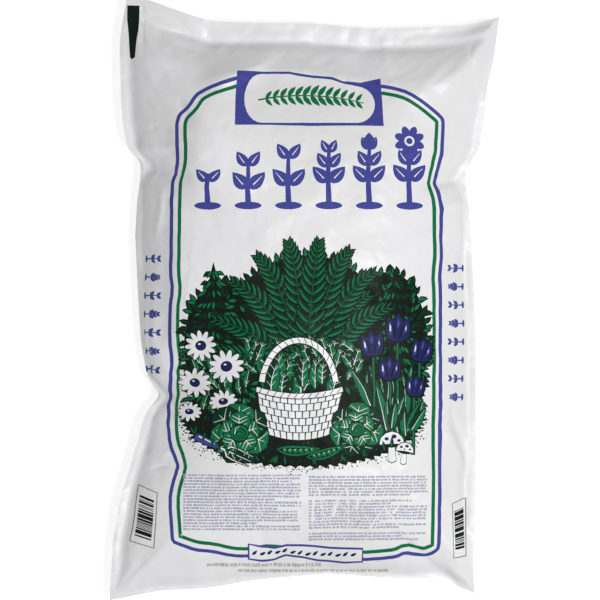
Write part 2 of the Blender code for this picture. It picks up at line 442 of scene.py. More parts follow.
def crossOf(read, spots):  # the surface's normal there, from its slope both ways
    step, slopes = surface["slopeStep"], []
    for way in np.array([[step, 0], [0, step]]):
        ahead, behind = (np.clip(there, -halfFilm, halfFilm) for there in (spots + way, spots - way))
        slopes.append(read(ahead) - read(behind))
    normal = np.cross(*slopes)
    return normal / np.maximum(np.linalg.norm(normal, axis=1, keepdims=True), 1e-12)


def filmPlace(spots, side):
    net = frontNet if side == "front" else backNet
    place = readNet(net, spots)
    normal = crossOf(lambda there: readNet(net, there), spots)
    rng = np.random.default_rng(9)
    rim = (halfFilm - np.abs(spots)).min(1)
    inFill = easeIn(rim, film["sideLip"], surface["fadeAtRim"] + film["sideLip"])
    steep = easeIn(1 - np.abs(normal[:, 2]), *surface["steep"])
    relief = np.zeros(len(spots))
    for wavelength, height in surface["clods"]:
        relief += height * softNoise(spots, wavelength, rng) * inFill
    for wavelength, height in surface["crumple"]:
        strength = surface["crumpleOnFace"] + (1 - surface["crumpleOnFace"]) * steep
        creased = np.abs(softNoise(spots, wavelength, rng)) - surface["crumpleMean"]
        relief += height * creased * strength * inFill
    onFin = 1 - easeIn(rim, film["topFin"], film["topFin"] * 2)
    ripple = sum(height * softNoise(spots, wavelength, rng) for wavelength, height in surface["finRipple"])
    relief += ripple * onFin * easeIn(rim, 0, surface["rippleFade"])
    half = film["layer"] / 2 * easeIn(rim, 0, surface["layerFade"])
    if side == "front":
        outward, upward = foldLift(place[:, :2]) * easeIn(rim, *surface["foldFade"])
        place += normal * (relief + half + outward)[:, None]
        place[:, 2] += upward
    else:
        place += normal * (relief - half)[:, None]
    place[:, 2] = np.maximum(place[:, 2], 0.0)
    return place


def onFilm(places):  # where on the flat film a place in plan lies, wrinkles apart
    spots = places * 1.08  # a first guess, because the film is wider than its plan
    limit = halfFilm - 0.002
    for step in range(24):
        spots = np.clip(spots + places - readNet(calmNet, spots)[:, :2], -limit, limit)
    return spots


# the print, in millimetres in plan from the bag's middle; later shapes lie over earlier ones
inks = ["film", "green", "deepGreen", "blue", "navy", "black", "lilac", "grey", "stone"]
shortestSide = 0.06  # millimetres
printed = []


def put(ink, shape, *where):  # where: the place, and if need be the angle and the size
    if where:
        shape = turned(shape, *where)
    ends = [*shape[1:], shape[0]]
    kept = [here for here, there in zip(shape, ends) if math.dist(here, there) > shortestSide]
    printed.append((inks.index(ink), kept))


def turned(shape, place, angle=0.0, size=1.0):
    c, s = math.cos(angle) * size, math.sin(angle) * size
    return [(place[0] + x * c - y * s, place[1] + x * s + y * c) for x, y in shape]


def around(place, acrossRadius, upRadius, angle):  # a place on an oval's edge
    return (place[0] + acrossRadius * math.cos(angle), place[1] + upRadius * math.sin(angle))


def oval(place, acrossRadius, upRadius, sides=12, angle=0.0):
    ring = [around((0, 0), acrossRadius, upRadius, math.tau * k / sides) for k in range(sides)]
    return turned(ring, place, angle)


def box(left, foot, right, top):
    return [(left, foot), (right, foot), (right, top), (left, top)]


def arc(place, acrossRadius, upRadius, start, end, steps=8):
    angles = [start + (end - start) * k / steps for k in range(steps + 1)]
    return [around(place, acrossRadius, upRadius, a) for a in angles]


def bow(start, middle, end, steps=8):  # a curve drawn from start to end, leaning towards middle
    shares = [k / steps for k in range(steps + 1)]
    return [tuple((1 - t) ** 2 * start[i] + 2 * t * (1 - t) * middle[i] + t * t * end[i] for i in (0, 1))
            for t in shares]


def stroke(line, width, endWidth=None):  # a thick line, tapering to endWidth
    endWidth = width if endWidth is None else endWidth
    last = len(line) - 1
    left, right = [], []
    for k, (x, y) in enumerate(line):
        before, after = line[max(k - 1, 0)], line[min(k + 1, last)]
        dx, dy = after[0] - before[0], after[1] - before[1]
        half = (width + (endWidth - width) * k / last) / 2 / (math.hypot(dx, dy) or 1.0)
        left.append((x - dy * half, y + dx * half))
        right.append((x + dy * half, y - dx * half))
    return left + right[::-1]


def swollen(shape, grow):  # the same shape, pushed out from its middle
    middle = [sum(point[i] for point in shape) / len(shape) for i in (0, 1)]
    out = []
    for x, y in shape:
        dx, dy = x - middle[0], y - middle[1]
        reach = math.hypot(dx, dy) or 1.0
        out.append((x + dx / reach * grow, y + dy / reach * grow))
    return out


def leafShape(length, width, bend=0.0, grow=0.0, steps=4, side=0):  # side 1 or -1 is half a leaf
    shares = [k / (steps + 1) for k in range(1, steps + 1)]
    rib = [(length * t, bend * length * t * t) for t in shares]
    upper, lower = [], []
    for t, (x, y) in zip(shares, rib):
        slope = 2 * bend * t
        half = (width / 2 * math.sin(math.pi * t ** 0.8) ** 0.85 + grow) / math.hypot(1, slope)
        upper.append((x - slope * half, y + half))
        lower.append((x + slope * half, y - half))
    tip = (length + grow * 1.6, bend * (length + grow * 3.2))
    base = (-grow, 0)
    if side > 0:
        return [base, *rib, tip, *upper[::-1]]
    if side < 0:
        return [base, *lower, tip, *rib[::-1]]
    return [base, *lower, tip, *upper[::-1]]


def putLeaf(ink, place, angle, *shape):
    put(ink, leafShape(*shape), place, angle)


def leaf(place, angle, length, width, bend=0.0, line=0.9, veins=0, darkSide=-1, rib=True):
    putLeaf("black", place, angle, length, width, bend, line)
    putLeaf("green", place, angle, length, width, bend)
    putLeaf("deepGreen", place, angle, length, width, bend, 0, 4, darkSide)
    if rib:
        line = [(length * t, bend * length * t * t) for t in (0.08, 0.4, 0.7, 0.92)]
        put("film", stroke(line, max(0.5, width * 0.07), 0.2), place, angle)
    for k in range(veins):
        t = 0.25 + 0.5 * k / max(1, veins - 1)
        x, y = length * t, bend * length * t * t
        for way in (-1, 1):
            reach = way * width * 0.34 * math.sin(math.pi * t) ** 0.5
            put("film", stroke([(x, y), (x + 0.16 * length, y + reach)], 0.5, 0.25), place, angle)


def smallLeaf(place, angle, shadow, shape, choices, rng):  # two points a side, on its shadow
    putLeaf("black", place, angle, *shadow, 2)
    putLeaf(rng.choice(choices), place, angle, *shape, 0, 0, 2)


def frond(base, middle, tip, leafLength, pairs):
    steps, first, last = 24, 0.12, 0.98  # shares of the spine that carry leaves
    spine = bow(base, middle, tip, steps)
    put("black", stroke(spine, 2.6, 1.0))
    for k in range(pairs):
        t = first + (last - first) * k / (pairs - 1)
        i = min(int(t * steps), steps - 1)
        share = t * steps - i
        here, there = spine[i], spine[i + 1]
        place = tuple(here[n] * (1 - share) + there[n] * share for n in (0, 1))
        along = math.atan2(there[1] - here[1], there[0] - here[0])
        fullness = 0.35 + 0.65 * math.sin(math.pi * min(1, t * 0.85 + 0.12)) ** 0.8
        size = leafLength * fullness * (1 - 0.35 * t)
        for side in (1, -1):
            angle = along + side * math.radians(62 - 26 * t)
            bend = side * -0.12
            putLeaf("black", place, angle, size, size * 0.36, bend, 0.7, 3)
            putLeaf("green", place, angle, size * 0.94, size * 0.24, bend, 0, 3)
            putLeaf("deepGreen", place, angle, size * 0.9, size * 0.24, bend, 0, 2, -side)
    put("green", stroke(spine, 0.9, 0.3))


def daisy(place, radius, tilt, turn, petals=12):
    x, y = place
    for ink, grow in (("black", 0.8), ("film", 0.0)):
        for k in range(petals):
            a = turn + math.tau * k / petals
            middle = (x + math.cos(a) * radius * 0.6, y + math.sin(a) * radius * 0.6 * tilt)
            lean = math.atan2(math.sin(a) * tilt, math.cos(a))
            put(ink, oval(middle, radius * 0.42 + grow, radius * 0.155 + grow, 10, lean))
    eye = radius * 0.30
    put("black", oval(place, eye + 0.8, (eye + 0.8) * tilt))
    put("navy", oval(place, eye, eye * tilt))
    put("film", oval((x - eye * 0.27, y + eye * 0.33), eye * 0.3, eye * 0.2, 6))


tulipParts = [  # ink and shape, for a flower one unit tall standing on its stalk
    ("blue", [(-0.34, 0.1), (-0.4, 0.38), (-0.37, 0.74), (-0.27, 0.5), (-0.24, 0.2)]),
    ("blue", [(0.2, 0.1), (0.27, 0.32), (0.32, 0.6), (0.37, 0.7), (0.38, 0.38)]),
    ("blue", [(-0.01, 0.42), (-0.07, 0.62), (0.0, 0.88), (0.07, 0.62)]),
    ("black", [(-0.16, 0.0), (-0.2, 0.42), (-0.23, 0.7), (-0.14, 0.42), (-0.1, 0.0)]),
    ("black", [(0.1, 0.0), (0.2, 0.42), (0.24, 0.7), (0.14, 0.42), (0.04, 0.0)]),
    ("film", [(-0.36, 0.3), (-0.37, 0.62), (-0.31, 0.5), (-0.3, 0.3)]),
    ("film", [(0.34, 0.3), (0.35, 0.55), (0.3, 0.45)]),
]
tulipCup = [(-0.42, 0.0), (-0.52, 0.35), (-0.46, 0.95), (-0.22, 0.72), (0.0, 1.08), (0.22, 0.72),
            (0.46, 0.95), (0.52, 0.35), (0.42, 0.0), (0.2, -0.12), (-0.2, -0.12)]


def tulip(place, lean, size):
    x, y = place
    foot = (x * 0.95 + 5, y - 66)
    stalk = [place, ((x + foot[0]) / 2, y - 34), foot]
    put("black", stroke(stalk, 4.0, 4.4))
    put("green", stroke(stalk, 1.8, 2.2))
    for ink, shape in [("black", swollen(tulipCup, 2.0 / size)), ("navy", tulipCup), *tulipParts]:
        put(ink, shape, place, lean, size)


bladeShape = [(0.0, -0.10), (0.25, -0.34), (0.55, -0.52), (0.82, -0.44), (1.0, -0.16), (1.04, 0.1),
              (0.92, 0.36), (0.66, 0.52), (0.32, 0.40), (0.0, 0.10)]


def cabbageLeaf(place, angle, length, width, ink, rng):
    shape = [(x * length * rng.uniform(0.95, 1.05), y * width * rng.uniform(0.93, 1.07))
             for x, y in bladeShape]
    put("black", swollen(shape, 1.1), place, angle)
    put(ink, shape, place, angle)
    put("film", stroke([(0.05 * length, 0), (0.9 * length, 0.02 * width)], 1.4, 0.4), place, angle)
    for t in (0.3, 0.5, 0.68):
        for way in (-1, 1):
            vein = [(t * length, 0), ((t + 0.12) * length, way * 0.2 * width),
                    ((t + 0.2) * length, way * 0.36 * width)]
            put("film", stroke(vein, 0.8, 0.3), place, angle)


cabbageParts = {
    "rings": ((7, -70, 53, 1.0, 0.95), (5, 20, 72, 0.66, 0.72)),  # leaves, first and step in degrees, size
    "heart": ((1.0, "green"), (0.75, "deepGreen"), (0.6, "green"), (0.42, "deepGreen"), (0.28, "green")),
}


def cabbage(place, size, rng):
    for leaves, first, step, length, width in cabbageParts["rings"]:
        for k in range(leaves):
            angle = math.radians(first + step * k + rng.uniform(-8, 8))
            ink = "green" if k % 2 or length < 1 else "deepGreen"
            cabbageLeaf(place, angle, size * length, size * width, ink, rng)
    x, y = place
    heart = size * 0.30
    put("black", oval(place, heart + 1, heart + 1, 14))
    for share, ink in cabbageParts["heart"]:
        put(ink, oval((x, y - heart * (1 - share) * 0.2), heart * share, heart * share * 0.9))
    shine = [(x - heart * 0.55, y - heart * 0.1), (x - heart * 0.4, y + heart * 0.45), (x, y + heart * 0.7)]
    put("film", stroke(shine, 1.0, 0.4))


def basket(place, width, height):
    left, top = place
    strips, courses, lastStrip = 11, 6, 0.98  # the last as a share of half the width

    def weave(u, v):  # u across from -1 to 1, v from the rim down
        return (left + u * width / 2 * (1 - 0.22 * v), top - height * (v + 0.16 * (1 - u * u)))

    def course(v):
        return [weave(u / 6, v) for u in range(-6, 7)]

    rim, foot = course(0), course(1)
    handle = arc((left, top + 2), width * 0.435, height * 1.13, math.radians(8), math.radians(172), 16)
    put("black", stroke(handle, 8.2))
    put("film", stroke(handle, 5.8))
    for x, y in handle[1:-1]:
        slant = math.atan2(y - top, x - left) + 0.5
        band = (3 * math.cos(slant), 3 * math.sin(slant))
        put("black", stroke([(x - band[0], y - band[1]), (x + band[0], y + band[1])], 0.8))
    put("black", swollen(rim + foot[::-1], 1.2))
    put("film", rim + foot[::-1])
    for row in range(courses):
        put("black", stroke(course(row / courses), 0.8))
        for strip in range(strips):
            u = -1 + 2 * (strip + (0.5 if row % 2 else 1.0)) / strips
            if abs(u) < lastStrip:
                put("black", stroke([weave(u, row / courses), weave(u, (row + 1) / courses)], 1.5, 1.0))
    lip = [(x, y + 1.2) for x, y in rim]
    put("black", stroke(lip, 7.4))
    put("film", stroke(lip, 5.2))
    for u in range(-11, 12, 2):
        x, y = weave(u / 12, 0)
        put("black", stroke([(x - 1.6, y - 1.2), (x + 1.6, y + 3.6)], 0.8))


def peaPod(place, angle, length, peas=6):
    width, bend = length * 0.24, 0.22
    putLeaf("black", place, angle, length, width, bend, 0.9, 7)
    putLeaf("green", place, angle, length, width, bend, 0, 7)
    opening = turned([(length * 0.04, 0)], place, angle)[0]
    putLeaf("black", opening, angle, length * 0.9, width * 0.62, bend, 0, 6)
    for k in range(peas):
        t = 0.2 + 0.124 * k
        radius = width * 0.27 * (1 - abs(t - 0.5) * 0.7)
        x, y = turned([(length * t, bend * length * t * t)], place, angle)[0]
        put("green", oval((x, y), radius, radius, 9))
        put("film", oval((x - radius * 0.3, y + radius * 0.35), radius * 0.3, radius * 0.22, 5))
    put("black", stroke([(0, 0), (-length * 0.12, length * 0.03)], 1.8, 1.0), place, angle)


toadstoolParts = [  # ink, shape and outline, for one unit across
    ("film", [(-0.16, -0.75), (-0.13, -0.1), (0.13, -0.1), (0.2, -0.75), (0.0, -0.84)], 1.0),
    ("film", [(-0.56, 0.0), (-0.5, 0.26), (-0.28, 0.48), (0.0, 0.56), (0.28, 0.48), (0.5, 0.26), (0.56, 0.0),
              (0.3, -0.1), (0.0, -0.13), (-0.3, -0.1)], 1.0),
    ("black", [(-0.5, -0.02), (-0.3, -0.10), (0.0, -0.13), (0.3, -0.10), (0.5, -0.02), (0.0, 0.02)], 0.0),
]
toadstoolSpots = ((-0.24, 0.24, 0.1), (0.1, 0.34, 0.12), (0.32, 0.16, 0.08), (-0.02, 0.12, 0.06))


def toadstool(place, size, lean=0.0):
    for ink, shape, line in toadstoolParts:
        if line:
            put("black", swollen(shape, line / size), place, lean, size)
        put(ink, shape, place, lean, size)
    for x, y, radius in toadstoolSpots:
        put("navy", oval((x, y), radius, radius * 0.8, 8), place, lean, size)


handForkParts = {  # one unit long, from the grip's end
    "grip": [(0.0, -0.045), (0.05, -0.06), (0.3, -0.05), (0.4, -0.03), (0.4, 0.03), (0.3, 0.05),
             (0.05, 0.06), (0.0, 0.045)],
    "shine": [(0.05, 0.012), (0.34, 0.01), (0.34, 0.026), (0.05, 0.034)],
    "neck": [(0.38, 0.0), (0.58, 0.0)],
    "tines": [[(0.54, 0.0), (0.6, 0.085 * way), (0.72, 0.1 * way), (1.0, 0.085 * way)] for way in (-1, 0, 1)],
}


def handFork(place, angle, length):
    grip, shine, neck, tines = handForkParts.values()
    lines = [stroke(neck, 0.06), *(stroke(tine, 0.06, 0.035) for tine in tines), swollen(grip, 1.2 / length)]
    steel = [stroke(neck, 0.03), *(stroke(tine, 0.03, 0.006) for tine in tines)]
    for ink, shapes in (("black", lines), ("film", steel), ("blue", [grip]), ("film", [shine])):
        for shape in shapes:
            put(ink, shape, place, angle, length)


coniferSide = [(0.5, 0.0), (0.42, 0.25), (0.22, 0.65), (0.0, 1.02)]
greens = ("green", "deepGreen")


def conifer(place, width, height, tiers, rng):
    left, foot = place
    cone = coniferSide + [(-x, y) for x, y in coniferSide[-2::-1]]
    put("black", [(left + x * width, foot + y * height) for x, y in cone])
    for tier in range(tiers):
        up = 1 - (tier + 0.6) / tiers
        reach = width * 0.5 * (1 - up) ** 0.8 + 1.5
        count = max(2, int(reach / 3.6))
        for c in range(-count, count + 1):
            u = c / (count + 0.3) + rng.uniform(-0.05, 0.05)
            spot = (left + u * reach, foot + up * height + rng.uniform(-1, 1) - abs(u) * reach * 0.25)
            angle = math.radians(-90 + u * 62 + rng.uniform(-10, 10))
            size = rng.uniform(7.0, 9.5)
            smallLeaf(spot, angle, (size + 1, size * 0.5, 0, 0.6), (size, size * 0.34), greens, rng)


def leafBank(bank, rng):
    for k in range(bank["count"]):
        place = (rng.uniform(*bank["x"]), rng.uniform(*bank["y"]))
        angle = bank.get("lean", math.pi / 2) + rng.uniform(-bank["spread"], bank["spread"])
        leaf(place, angle, rng.uniform(*bank["length"]), rng.uniform(*bank["width"]), rng.uniform(-0.2, 0.2),
             veins=bank["veins"], darkSide=rng.choice((-1, 1)))


def hedge(place, acrossRadius, upRadius, count, rng):
    put("black", oval(place, acrossRadius, upRadius, 36))
    edgeLeaves = round((acrossRadius + upRadius) / 2.8)
    for k in range(edgeLeaves):
        a = math.tau * (k + rng.uniform(0, 0.6)) / edgeLeaves
        spot = around(place, acrossRadius - 3, upRadius - 3, a)
        smallLeaf(spot, a + rng.uniform(-0.6, 0.6), (11, 5.6, 0, 0.5), (9.5, 3.6), greens, rng)
    for k in range(count):
        a, share = rng.uniform(0, math.tau), math.sqrt(rng.uniform(0.02, 1.0))
        spot, size = around(place, share * acrossRadius, share * upRadius, a), rng.uniform(6.5, 10.5)
        smallLeaf(spot, a + rng.uniform(-0.7, 0.7), (size + 1, size * 0.52, 0, 0.6), (size, size * 0.36),
                  (*greens, "deepGreen"), rng)


# the garden's layout: places and sizes in millimetres, leans in radians, in the order of the list
garden = {
    "soil": {"middle": (-2, -130), "reach": (128, 52), "widest": 134, "edge": 150, "crumbs": 420,
             "flecks": 260},
    "sideHedges": [((-87, -52), 43, 69, 150), ((91, -50), 42, 78, 160)],  # place, radii, leaves
    "conifers": [((-98, -106), 60, 142, 13), ((96, -112), 58, 136, 12)],  # place, size, tiers
    "middleHedge": ((2, -32), 84, 78, 90),
    "fronds": {"foot": (2, -92), "leaf": 26, "pairs": 15,
               "fan": [(-118, 96), (64, 98), (-96, 108), (84, 106), (-66, 116), (58, 118), (-40, 120),
                       (34, 122), (-14, 122), (10, 122)]},  # lean and reach, from the back
    "leavesBehind": {"count": 34, "x": (-60, 62), "y": (-100, -58), "length": (17, 25), "width": (8, 12),
                     "spread": 0.95, "veins": 2},
    "daisyLeaves": {"count": 30, "x": (-122, -62), "y": (-146, -66), "length": (18, 27), "width": (7, 10),
                    "lean": 1.7, "spread": 0.9, "veins": 1},
    "daisies": [((-112, -52), 17, 0.95, 0.1), ((-84, -74), 19, 0.9, 0.3), ((-118, -92), 18, 0.8, 0.0),
                ((-88, -112), 15, 0.75, 0.2), ((-124, -124), 13, 0.7, 0.4)],  # place, radius, tilt, turn
    "tulipLeaves": {"count": 20, "x": (66, 114), "y": (-152, -118), "length": (44, 70), "width": (8, 12),
                    "spread": 0.4, "veins": 0},
    "tulips": [((74, -60), 0.12, 23), ((100, -44), -0.05, 25), ((124, -66), -0.22, 22),
               ((92, -86), 0.02, 22), ((118, -104), -0.15, 19)],  # place, lean, size
    "tulipFeet": {"count": 9, "x": (64, 116), "y": (-158, -142), "length": (30, 46), "width": (8, 11),
                  "spread": 0.6, "veins": 0},
    "basketLeaves": {"count": 22, "x": (-42, 30), "y": (-106, -94), "length": (24, 36), "width": (12, 17),
                     "spread": 0.55, "veins": 3},
    "basket": ((-6, -100), 92, 46),
    "cabbages": [((-70, -146), 32), ((56, -142), 28)],
    "peaPods": [((-30, -163), -12, 46), ((2, -172), 4, 44)],  # place, degrees, length
    "toadstools": [((94, -158), 24, 0.0), ((108, -166), 17, -0.15)],
    "handFork": ((-118, -150), math.radians(-24), 66),
    "grass": 26,
}


def soilPlace(angle, share):
    reach = garden["soil"]["reach"]
    return around(garden["soil"]["middle"], reach[0] * share, reach[1] * share, angle)


def soilBed(rng):
    soil, edge = garden["soil"], []
    for k in range(soil["edge"]):  # in and out by turns
        share = 1 + (0.055 if k % 2 else -0.01) * rng.uniform(0.4, 1.3)
        edge.append(soilPlace(math.tau * k / soil["edge"], share))
    put("black", edge)
    for k in range(soil["crumbs"]):  # loose soil round the edge
        size = rng.uniform(0.5, 1.05)
        spot = soilPlace(rng.uniform(0, math.tau), 1.02 + abs(rng.gauss(0, 0.055)))
        if abs(spot[0] + 1) < soil["widest"]:
            put("black", oval(spot, size, size, 5))
    for k in range(soil["flecks"]):
        size = rng.uniform(1.0, 2.6)
        spot = soilPlace(rng.uniform(0, math.tau), math.sqrt(rng.uniform(0.3, 0.95)))
        ink = rng.choice(("deepGreen", "deepGreen", "green", "navy"))
        putLeaf(ink, spot, rng.uniform(0.9, 2.2), size * 2, size * 0.7, 0, 0, 1)


def frondFan():
    fan = garden["fronds"]
    for lean, reach in fan["fan"]:
        angle = math.radians(90 - lean * 0.62)
        x, y = fan["foot"][0] + lean * 0.06, fan["foot"][1]
        tip = (x + math.cos(angle) * reach, y + math.sin(angle) * reach * 1.25)
        rise = (x + math.cos(angle) * reach * 0.36, y + math.sin(angle) * reach * 0.98)
        frond((x, y), rise, tip, fan["leaf"], fan["pairs"])


def gardenPicture(rng):
    soilBed(rng)
    for given in garden["sideHedges"]:
        hedge(*given, rng)
    for given in garden["conifers"]:
        conifer(*given, rng)
    hedge(*garden["middleHedge"], rng)
    frondFan()
    leafBank(garden["leavesBehind"], rng)
    leafBank(garden["daisyLeaves"], rng)
    for given in garden["daisies"]:
        daisy(*given)
    leafBank(garden["tulipLeaves"], rng)
    for given in garden["tulips"]:
        tulip(*given)
    leafBank(garden["tulipFeet"], rng)
    leafBank(garden["basketLeaves"], rng)
    basket(*garden["basket"])
    for given in garden["cabbages"]:
        cabbage(*given, rng)
    for place, degrees, length in garden["peaPods"]:
        peaPod(place, math.radians(degrees), length)
    for given in garden["toadstools"]:
        toadstool(*given)
    handFork(*garden["handFork"])
    for k in range(garden["grass"]):
        place = soilPlace(math.radians(rng.uniform(200, 340)), 0.97)
        leaf(place, rng.uniform(0.9, 2.2), rng.uniform(7, 12), rng.uniform(2.0, 3.2), 0.1, 0.5, rib=False)


# the lines round the face, drawn out of true by the creases; the path is in the photograph's pixels,
# anticlockwise from the plaque's left end, with the widths in millimetres
border = {
    "path": [(242, 78), (224, 83), (209, 88), (198, 93.5), (194, 98), (189, 106), (181, 112.5), (178, 117),
             (176, 124), (176, 130), (177, 150), (177.4, 161), (174.4, 170), (171.4, 180), (171.5, 200),
             (170.8, 240), (170, 272), (172, 291), (169.2, 308), (168.8, 340), (171.5, 370), (166.5, 395),
             (168, 425), (168.6, 443), (175.7, 460), (176.3, 469), (171.8, 482), (168.8, 500), (171, 530),
             (172, 541.5), (182, 545.5), (195, 550), (212, 551.5), (232, 556.3), (248, 557), (258, 555.5),
             (268, 554), (305, 556), (330, 558.5), (362, 560.5), (380, 559.4), (396, 557.5), (405, 553.4),
             (414, 555.5), (424, 557), (435, 553), (440, 548), (440.2, 530), (441, 480), (439.6, 432),
             (441, 400), (441.4, 300), (440.2, 275), (441.2, 255), (441, 212), (439.4, 199), (436.9, 186),
             (437.7, 178), (440, 163), (442.1, 150), (444, 130), (444, 121), (441.5, 116.5), (425, 103),
             (408, 92.5), (395, 88.5), (380, 86)],
    "blueLine": 3.8,
    "gap": 4.0,
    "greenLine": 3.8,
    "greenShift": (0.9, 0.5),  # the green is printed a little out of line with the blue
}


def inPlan(pixels):  # from the photograph's pixels to millimetres
    return [tuple(place) for place in (fromPhoto(pixels) * 1000).tolist()]


def rounded(line):  # cuts the corners of a closed line
    ahead = line[1:] + line[:1]
    return [tuple(a[i] * (1 - t) + b[i] * t for i in (0, 1)) for a, b in zip(line, ahead)
            for t in (0.22, 0.78)]


def inset(line, distance):  # a closed anticlockwise line, moved inwards
    moved = []
    for before, here, after in zip(line[-1:] + line[:-1], line, line[1:] + line[:1]):
        dx, dy = after[0] - before[0], after[1] - before[1]
        reach = distance / (math.hypot(dx, dy) or 1.0)
        moved.append((here[0] - dy * reach, here[1] + dx * reach))
    return moved


def borderLines():
    path = rounded(inPlan(border["path"]))
    inner = border["blueLine"] + border["gap"]
    put("blue", path)
    put("film", inset(path, border["blueLine"]))
    put("green", inset(path, inner), border["greenShift"])
    put("film", inset(path, inner + border["greenLine"]), border["greenShift"])


# the plaque at the top; its edge is in pixels, and the rest in millimetres
plaqueParts = {
    "edge": [(238, 73.5), (262, 74.8), (290, 75), (312, 78.5), (332, 80.3), (344, 84), (353, 86.5),
             (370, 82.5), (380, 80), (381.5, 100), (383, 127.5), (355, 126.8), (310, 127.6),
             (270, 126.8), (235.5, 126.5), (236, 98)],
    "field": [*arc((57, 208), 19, 19.4, -math.pi / 2, math.pi / 2, 12), (43, 230), (29, 234), (8, 236),
              (-16, 239.7), *arc((-46, 214), 19, 26, math.pi / 2, math.pi * 1.5, 12)],
    "sprig": bow((-50, 213), (6, 224), (64, 210), 14),
}


def plaque():
    put("blue", inPlan(plaqueParts["edge"]))
    put("film", plaqueParts["field"])
    sprig = plaqueParts["sprig"]
    put("green", stroke(sprig, 1.8, 1.0))
    for k, node in enumerate(sprig[1:-1], 1):
        size = 15 - abs(k - 7) * 0.7
        for side in (-1, 1):
            putLeaf("green", node, side * math.radians(54) + 0.02, size, size * 0.38, side * -0.1, 0, 5)


seedlings = {
    "stages": [(40, 1, None), (52, 2, None), (62, 2, None), (70, 3, None), (74, 3, "bud"), (76, 3, "open")],
    "first": (-104, 99),
    "pitch": 43.4,
    "sides": [(-172, 42, 7, -1), (172, 32, 8, 1)],  # across, top, how many, which way they lean
    "sidePitch": 20,
    "sideHeight": 58,
    "sideSize": 0.27,
}


def seedling(foot, height, pairs, flower=None, angle=0.0, size=1.0):  # leaning by angle
    def draw(ink, shape, *where):
        put(ink, turned(shape, *where) if where else shape, foot, angle, size)

    draw("blue", oval((0, 0), 14.5, 4.2, 18))
    draw("blue", stroke([(0, 0), (-0.8, height * 0.5), (0, height * 0.86)], 6.4, 3.8))
    for k in range(pairs):
        up = 0.36 + 0.46 * k / (pairs - 1) if pairs > 1 else 0.66
        length = (24 - 4.2 * k) * (0.75 if pairs == 1 else 1.0)
        for side in (-1, 1):
            where = (0, height * up), math.pi / 2 - side * math.radians(56 - 8 * k)
            draw("blue", leafShape(length, length * 0.6, side * 0.18, 0, 6), *where)
            if size == 1.0:
                vein = [(length * 0.28, 0.0), (length * 0.55, side * 0.054 * length),
                        (length * 0.8, side * 0.11 * length)]
                draw("film", stroke(vein, 1.3, 0.5), *where)
    if flower == "bud":
        draw("blue", leafShape(20, 14, 0, 0, 6), (0, height * 0.80), math.pi / 2)
    if flower == "open":
        head = (0, height * 0.92)
        for k in range(8):
            lean = math.tau * (k + 0.5) / 8
            draw("blue", oval(around(head, 9.4, 9.4, lean), 7.4, 4.4, 12, lean))
        draw("film", oval(head, 5.6, 5.6, 14))
        draw("blue", oval(head, 3.4, 3.4, 12))


def seedlingRow():  # from a sprout to a plant in flower
    for k, stage in enumerate(seedlings["stages"]):
        seedling((seedlings["first"][0] + seedlings["pitch"] * k, seedlings["first"][1]), *stage)


def sideSeedlings():  # small ones down each side, with their tips towards the face
    for x, top, count, way in seedlings["sides"]:
        for k in range(count):
            foot = (x, top - k * seedlings["sidePitch"])
            seedling(foot, seedlings["sideHeight"], 2 + k % 2, None, math.pi / 2 * way, seedlings["sideSize"])


def wordBars(left, right, top, lines, gaps, pitch, ink, rng):  # rows of bars as long as words
    for line in range(lines):
        if line in gaps:
            continue
        x, y = left, top - line * pitch
        end = right if rng.random() < 0.8 else left + (right - left) * rng.uniform(0.55, 0.95)
        while x < end - 2:
            width = min(rng.uniform(1.4, 4.6), end - x)
            below, above = pitch * rng.uniform(0.26, 0.36), pitch * rng.uniform(0.24, 0.38)
            put(ink, box(x, y - below, x + width, y + above))
            x += width + rng.choice((0.45, 0.45, 1.3))


def stripedLabel(corners, rng):  # a thin box round a ladder of bars; corners from the top left, clockwise
    topLeft, topRight, footRight, footLeft = (np.array(corner) for corner in inPlan(corners))
    width, height = math.dist(topRight, topLeft), math.dist(footLeft, topLeft)

    def band(ink, left, top, right, foot):  # millimetres from the label's own edges
        places = []
        for x, y in ((left, top), (left, foot), (right, foot), (right, top)):
            a, d = x / width, y / height
            places.append(tuple((1 - d) * ((1 - a) * topLeft + a * topRight)
                                + d * ((1 - a) * footLeft + a * footRight)))
        put(ink, places)

    band("grey", 0, 0, width, height)
    band("film", 1.1, 1.1, width - 1.1, height - 1.1)
    y = height * 0.16
    while y < height * 0.86:
        thick = rng.choice((0.9, 1.6, 2.6, 4.2))
        band("black", width * 0.16, y, width * 0.86, y + thick)
        y += thick + rng.choice((0.7, 0.8, 1.6))


footPlaque = {
    "edge": [(248, 542), (262, 544.5), (275, 545.5), (286, 542.5), (300, 542.5), (330, 545.5), (363, 546.5),
             (363, 562), (345, 563), (318, 561), (301, 557), (286, 555), (275, 560), (262, 561), (248, 559)],
    "line": 2.4,
    "leaves": {"count": 14, "first": -54, "pitch": 8.2, "height": -279},
}


def smallPlaque():  # at the foot, with a row of leaves that follows its dip
    edge, leaves = inPlan(footPlaque["edge"]), footPlaque["leaves"]
    put("blue", edge)
    put("film", inset(edge[::-1], footPlaque["line"]))
    for k in range(leaves["count"]):
        x = leaves["first"] + leaves["pitch"] * k
        dip = 3.2 * math.exp(-((x + 20) / 12) ** 2) - 1.2 * math.exp(-((x - 35) / 25) ** 2)
        putLeaf("navy", (x - 3, leaves["height"] + dip), math.radians(16 if k % 2 else 34), 7.6, 3.2, 0.12)


